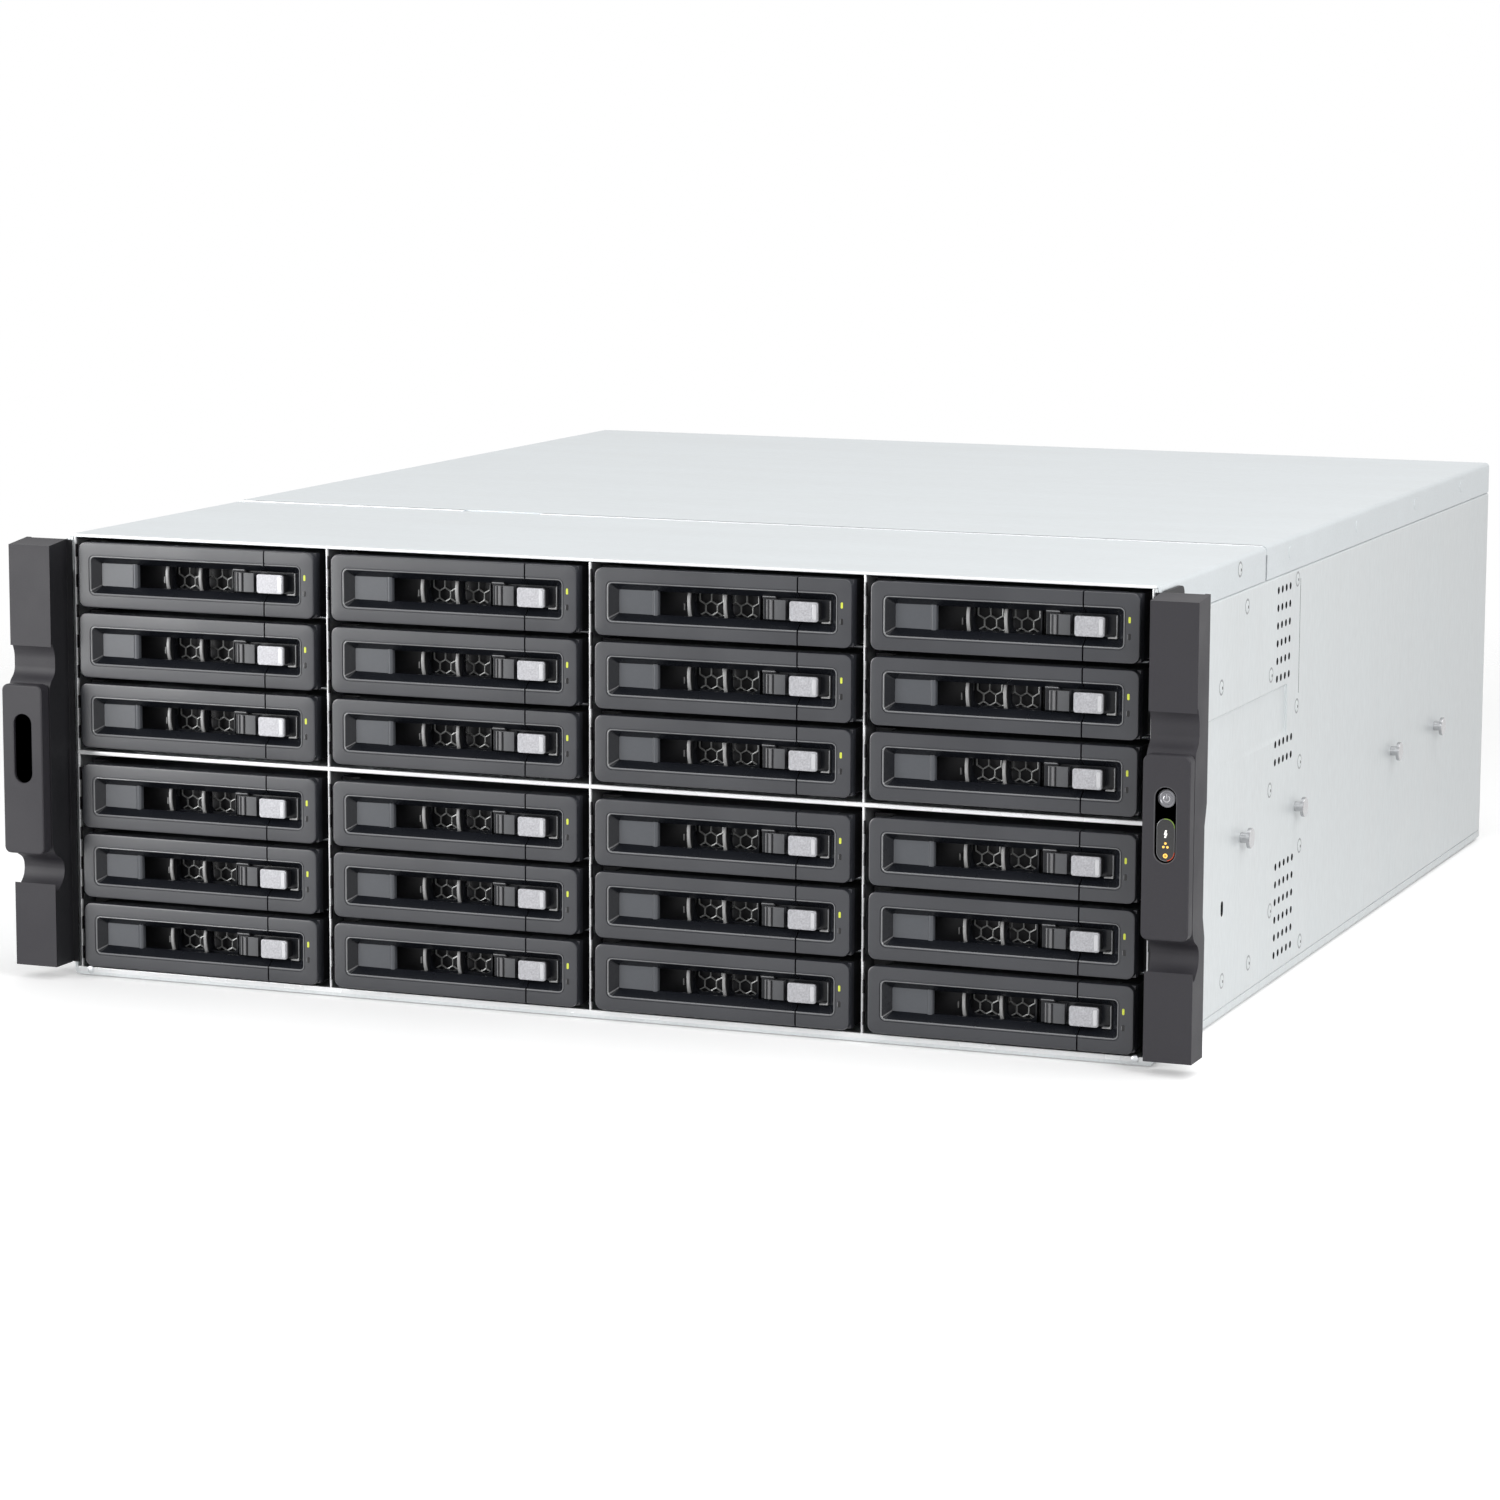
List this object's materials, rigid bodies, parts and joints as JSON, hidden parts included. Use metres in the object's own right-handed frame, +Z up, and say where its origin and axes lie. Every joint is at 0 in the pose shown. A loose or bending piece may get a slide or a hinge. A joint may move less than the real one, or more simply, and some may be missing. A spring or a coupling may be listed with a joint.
{
  "type": "rack-mount storage server",
  "caption": "Four-unit rack server with hot-swap drive trays, hinged tray levers, rack ears, a sliding top cover and two pull-out power supplies.",
  "frame": {"origin": "centre of the chassis's underside", "axes": "+X to the right seen from the front, +Y to the rear, +Z up"},
  "size_m": [0.4826, 0.5758, 0.176],
  "materials": {
    "chassis_steel": "satin galvanised steel",
    "cover_steel": "satin galvanised steel",
    "cage_steel": "satin galvanised steel",
    "psu_steel": "satin galvanised steel",
    "circuit_board": "green solder mask",
    "black_plastic": "fine moulded texture",
    "ear_plastic": "fine moulded texture",
    "tray_plastic": "satin moulded plastic",
    "lever_plastic": "satin moulded plastic",
    "button_metal": "satin"
  },
  "bodies": {
    "chassis": {"chassis": "chassis_steel", "front_top_panel": "cover_steel", "drive_cage": "cage_steel", "backplane": "circuit_board", "fan_wall": "black_plastic", "mainboard": "circuit_board", "left_ear": "ear_plastic", "right_ear": "ear_plastic"},
    "power_button": {"power_button": "button_metal"},
    "top_cover": {"top_cover": "cover_steel"},
    "psu_lower": {"psu_lower": "psu_steel"},
    "psu_upper": {"psu_upper": "psu_steel"},
    "tray_r1c1": {"tray_r1c1": "tray_plastic"},
    "lever_r1c1": {"lever_r1c1": "lever_plastic"},
    "tray_r2c1": {"tray_r2c1": "tray_plastic"},
    "lever_r2c1": {"lever_r2c1": "lever_plastic"},
    "tray_r3c1": {"tray_r3c1": "tray_plastic"},
    "lever_r3c1": {"lever_r3c1": "lever_plastic"},
    "tray_r4c1": {"tray_r4c1": "tray_plastic"},
    "lever_r4c1": {"lever_r4c1": "lever_plastic"},
    "tray_r5c1": {"tray_r5c1": "tray_plastic"},
    "lever_r5c1": {"lever_r5c1": "lever_plastic"},
    "tray_r6c1": {"tray_r6c1": "tray_plastic"},
    "lever_r6c1": {"lever_r6c1": "lever_plastic"},
    "tray_r1c2": {"tray_r1c2": "tray_plastic"},
    "lever_r1c2": {"lever_r1c2": "lever_plastic"},
    "tray_r2c2": {"tray_r2c2": "tray_plastic"},
    "lever_r2c2": {"lever_r2c2": "lever_plastic"},
    "tray_r3c2": {"tray_r3c2": "tray_plastic"},
    "lever_r3c2": {"lever_r3c2": "lever_plastic"},
    "tray_r4c2": {"tray_r4c2": "tray_plastic"},
    "lever_r4c2": {"lever_r4c2": "lever_plastic"},
    "tray_r5c2": {"tray_r5c2": "tray_plastic"},
    "lever_r5c2": {"lever_r5c2": "lever_plastic"},
    "tray_r6c2": {"tray_r6c2": "tray_plastic"},
    "lever_r6c2": {"lever_r6c2": "lever_plastic"},
    "tray_r1c3": {"tray_r1c3": "tray_plastic"},
    "lever_r1c3": {"lever_r1c3": "lever_plastic"},
    "tray_r2c3": {"tray_r2c3": "tray_plastic"},
    "lever_r2c3": {"lever_r2c3": "lever_plastic"},
    "tray_r3c3": {"tray_r3c3": "tray_plastic"},
    "lever_r3c3": {"lever_r3c3": "lever_plastic"},
    "tray_r4c3": {"tray_r4c3": "tray_plastic"},
    "lever_r4c3": {"lever_r4c3": "lever_plastic"},
    "tray_r5c3": {"tray_r5c3": "tray_plastic"},
    "lever_r5c3": {"lever_r5c3": "lever_plastic"},
    "tray_r6c3": {"tray_r6c3": "tray_plastic"},
    "lever_r6c3": {"lever_r6c3": "lever_plastic"},
    "tray_r1c4": {"tray_r1c4": "tray_plastic"},
    "lever_r1c4": {"lever_r1c4": "lever_plastic"},
    "tray_r2c4": {"tray_r2c4": "tray_plastic"},
    "lever_r2c4": {"lever_r2c4": "lever_plastic"},
    "tray_r3c4": {"tray_r3c4": "tray_plastic"},
    "lever_r3c4": {"lever_r3c4": "lever_plastic"},
    "tray_r4c4": {"tray_r4c4": "tray_plastic"},
    "lever_r4c4": {"lever_r4c4": "lever_plastic"},
    "tray_r5c4": {"tray_r5c4": "tray_plastic"},
    "lever_r5c4": {"lever_r5c4": "lever_plastic"},
    "tray_r6c4": {"tray_r6c4": "tray_plastic"},
    "lever_r6c4": {"lever_r6c4": "lever_plastic"}
  },
  "joints": [
    {"name": "power_button_press", "type": "slide", "parent": "chassis", "child": "power_button", "axis": [0, 1, 0], "range_m": [0, 0.0012], "stiffness_N_per_m": 900, "springref_m": -0.0006},
    {"name": "top_cover_slide", "type": "slide", "parent": "chassis", "child": "top_cover", "axis": [0, 1, 0], "range_m": [0, 0.388]},
    {"name": "psu_upper_slide", "type": "slide", "parent": "chassis", "child": "psu_upper", "axis": [0, 1, 0], "range_m": [0, 0.2]},
    {"name": "psu_lower_slide", "type": "slide", "parent": "chassis", "child": "psu_lower", "axis": [0, 1, 0], "range_m": [0, 0.2]},
    {"name": "tray_r1c1_slide", "type": "slide", "parent": "chassis", "child": "tray_r1c1", "axis": [0, -1, 0], "range_m": [0, 0.165]},
    {"name": "lever_r1c1_swing", "type": "hinge", "parent": "tray_r1c1", "child": "lever_r1c1", "pos_m": [-0.2129, -0.264, 0.16025], "axis": [0, 0, -1], "range_deg": [0, 50]},
    {"name": "tray_r2c1_slide", "type": "slide", "parent": "chassis", "child": "tray_r2c1", "axis": [0, -1, 0], "range_m": [0, 0.165]},
    {"name": "lever_r2c1_swing", "type": "hinge", "parent": "tray_r2c1", "child": "lever_r2c1", "pos_m": [-0.2129, -0.264, 0.13245], "axis": [0, 0, -1], "range_deg": [0, 50]},
    {"name": "tray_r3c1_slide", "type": "slide", "parent": "chassis", "child": "tray_r3c1", "axis": [0, -1, 0], "range_m": [0, 0.165]},
    {"name": "lever_r3c1_swing", "type": "hinge", "parent": "tray_r3c1", "child": "lever_r3c1", "pos_m": [-0.2129, -0.264, 0.10465], "axis": [0, 0, -1], "range_deg": [0, 50]},
    {"name": "tray_r4c1_slide", "type": "slide", "parent": "chassis", "child": "tray_r4c1", "axis": [0, -1, 0], "range_m": [0, 0.165]},
    {"name": "lever_r4c1_swing", "type": "hinge", "parent": "tray_r4c1", "child": "lever_r4c1", "pos_m": [-0.2129, -0.264, 0.07265], "axis": [0, 0, -1], "range_deg": [0, 50]},
    {"name": "tray_r5c1_slide", "type": "slide", "parent": "chassis", "child": "tray_r5c1", "axis": [0, -1, 0], "range_m": [0, 0.165]},
    {"name": "lever_r5c1_swing", "type": "hinge", "parent": "tray_r5c1", "child": "lever_r5c1", "pos_m": [-0.2129, -0.264, 0.04485], "axis": [0, 0, -1], "range_deg": [0, 50]},
    {"name": "tray_r6c1_slide", "type": "slide", "parent": "chassis", "child": "tray_r6c1", "axis": [0, -1, 0], "range_m": [0, 0.165]},
    {"name": "lever_r6c1_swing", "type": "hinge", "parent": "tray_r6c1", "child": "lever_r6c1", "pos_m": [-0.2129, -0.264, 0.01705], "axis": [0, 0, -1], "range_deg": [0, 50]},
    {"name": "tray_r1c2_slide", "type": "slide", "parent": "chassis", "child": "tray_r1c2", "axis": [0, -1, 0], "range_m": [0, 0.165]},
    {"name": "lever_r1c2_swing", "type": "hinge", "parent": "tray_r1c2", "child": "lever_r1c2", "pos_m": [-0.1029, -0.264, 0.16025], "axis": [0, 0, -1], "range_deg": [0, 50]},
    {"name": "tray_r2c2_slide", "type": "slide", "parent": "chassis", "child": "tray_r2c2", "axis": [0, -1, 0], "range_m": [0, 0.165]},
    {"name": "lever_r2c2_swing", "type": "hinge", "parent": "tray_r2c2", "child": "lever_r2c2", "pos_m": [-0.1029, -0.264, 0.13245], "axis": [0, 0, -1], "range_deg": [0, 50]},
    {"name": "tray_r3c2_slide", "type": "slide", "parent": "chassis", "child": "tray_r3c2", "axis": [0, -1, 0], "range_m": [0, 0.165]},
    {"name": "lever_r3c2_swing", "type": "hinge", "parent": "tray_r3c2", "child": "lever_r3c2", "pos_m": [-0.1029, -0.264, 0.10465], "axis": [0, 0, -1], "range_deg": [0, 50]},
    {"name": "tray_r4c2_slide", "type": "slide", "parent": "chassis", "child": "tray_r4c2", "axis": [0, -1, 0], "range_m": [0, 0.165]},
    {"name": "lever_r4c2_swing", "type": "hinge", "parent": "tray_r4c2", "child": "lever_r4c2", "pos_m": [-0.1029, -0.264, 0.07265], "axis": [0, 0, -1], "range_deg": [0, 50]},
    {"name": "tray_r5c2_slide", "type": "slide", "parent": "chassis", "child": "tray_r5c2", "axis": [0, -1, 0], "range_m": [0, 0.165]},
    {"name": "lever_r5c2_swing", "type": "hinge", "parent": "tray_r5c2", "child": "lever_r5c2", "pos_m": [-0.1029, -0.264, 0.04485], "axis": [0, 0, -1], "range_deg": [0, 50]},
    {"name": "tray_r6c2_slide", "type": "slide", "parent": "chassis", "child": "tray_r6c2", "axis": [0, -1, 0], "range_m": [0, 0.165]},
    {"name": "lever_r6c2_swing", "type": "hinge", "parent": "tray_r6c2", "child": "lever_r6c2", "pos_m": [-0.1029, -0.264, 0.01705], "axis": [0, 0, -1], "range_deg": [0, 50]},
    {"name": "tray_r1c3_slide", "type": "slide", "parent": "chassis", "child": "tray_r1c3", "axis": [0, -1, 0], "range_m": [0, 0.165]},
    {"name": "lever_r1c3_swing", "type": "hinge", "parent": "tray_r1c3", "child": "lever_r1c3", "pos_m": [0.0071, -0.264, 0.16025], "axis": [0, 0, -1], "range_deg": [0, 50]},
    {"name": "tray_r2c3_slide", "type": "slide", "parent": "chassis", "child": "tray_r2c3", "axis": [0, -1, 0], "range_m": [0, 0.165]},
    {"name": "lever_r2c3_swing", "type": "hinge", "parent": "tray_r2c3", "child": "lever_r2c3", "pos_m": [0.0071, -0.264, 0.13245], "axis": [0, 0, -1], "range_deg": [0, 50]},
    {"name": "tray_r3c3_slide", "type": "slide", "parent": "chassis", "child": "tray_r3c3", "axis": [0, -1, 0], "range_m": [0, 0.165]},
    {"name": "lever_r3c3_swing", "type": "hinge", "parent": "tray_r3c3", "child": "lever_r3c3", "pos_m": [0.0071, -0.264, 0.10465], "axis": [0, 0, -1], "range_deg": [0, 50]},
    {"name": "tray_r4c3_slide", "type": "slide", "parent": "chassis", "child": "tray_r4c3", "axis": [0, -1, 0], "range_m": [0, 0.165]},
    {"name": "lever_r4c3_swing", "type": "hinge", "parent": "tray_r4c3", "child": "lever_r4c3", "pos_m": [0.0071, -0.264, 0.07265], "axis": [0, 0, -1], "range_deg": [0, 50]},
    {"name": "tray_r5c3_slide", "type": "slide", "parent": "chassis", "child": "tray_r5c3", "axis": [0, -1, 0], "range_m": [0, 0.165]},
    {"name": "lever_r5c3_swing", "type": "hinge", "parent": "tray_r5c3", "child": "lever_r5c3", "pos_m": [0.0071, -0.264, 0.04485], "axis": [0, 0, -1], "range_deg": [0, 50]},
    {"name": "tray_r6c3_slide", "type": "slide", "parent": "chassis", "child": "tray_r6c3", "axis": [0, -1, 0], "range_m": [0, 0.165]},
    {"name": "lever_r6c3_swing", "type": "hinge", "parent": "tray_r6c3", "child": "lever_r6c3", "pos_m": [0.0071, -0.264, 0.01705], "axis": [0, 0, -1], "range_deg": [0, 50]},
    {"name": "tray_r1c4_slide", "type": "slide", "parent": "chassis", "child": "tray_r1c4", "axis": [0, -1, 0], "range_m": [0, 0.165]},
    {"name": "lever_r1c4_swing", "type": "hinge", "parent": "tray_r1c4", "child": "lever_r1c4", "pos_m": [0.1171, -0.264, 0.16025], "axis": [0, 0, -1], "range_deg": [0, 50]},
    {"name": "tray_r2c4_slide", "type": "slide", "parent": "chassis", "child": "tray_r2c4", "axis": [0, -1, 0], "range_m": [0, 0.165]},
    {"name": "lever_r2c4_swing", "type": "hinge", "parent": "tray_r2c4", "child": "lever_r2c4", "pos_m": [0.1171, -0.264, 0.13245], "axis": [0, 0, -1], "range_deg": [0, 50]},
    {"name": "tray_r3c4_slide", "type": "slide", "parent": "chassis", "child": "tray_r3c4", "axis": [0, -1, 0], "range_m": [0, 0.165]},
    {"name": "lever_r3c4_swing", "type": "hinge", "parent": "tray_r3c4", "child": "lever_r3c4", "pos_m": [0.1171, -0.264, 0.10465], "axis": [0, 0, -1], "range_deg": [0, 50]},
    {"name": "tray_r4c4_slide", "type": "slide", "parent": "chassis", "child": "tray_r4c4", "axis": [0, -1, 0], "range_m": [0, 0.165]},
    {"name": "lever_r4c4_swing", "type": "hinge", "parent": "tray_r4c4", "child": "lever_r4c4", "pos_m": [0.1171, -0.264, 0.07265], "axis": [0, 0, -1], "range_deg": [0, 50]},
    {"name": "tray_r5c4_slide", "type": "slide", "parent": "chassis", "child": "tray_r5c4", "axis": [0, -1, 0], "range_m": [0, 0.165]},
    {"name": "lever_r5c4_swing", "type": "hinge", "parent": "tray_r5c4", "child": "lever_r5c4", "pos_m": [0.1171, -0.264, 0.04485], "axis": [0, 0, -1], "range_deg": [0, 50]},
    {"name": "tray_r6c4_slide", "type": "slide", "parent": "chassis", "child": "tray_r6c4", "axis": [0, -1, 0], "range_m": [0, 0.165]},
    {"name": "lever_r6c4_swing", "type": "hinge", "parent": "tray_r6c4", "child": "lever_r6c4", "pos_m": [0.1171, -0.264, 0.01705], "axis": [0, 0, -1], "range_deg": [0, 50]}
  ]
}
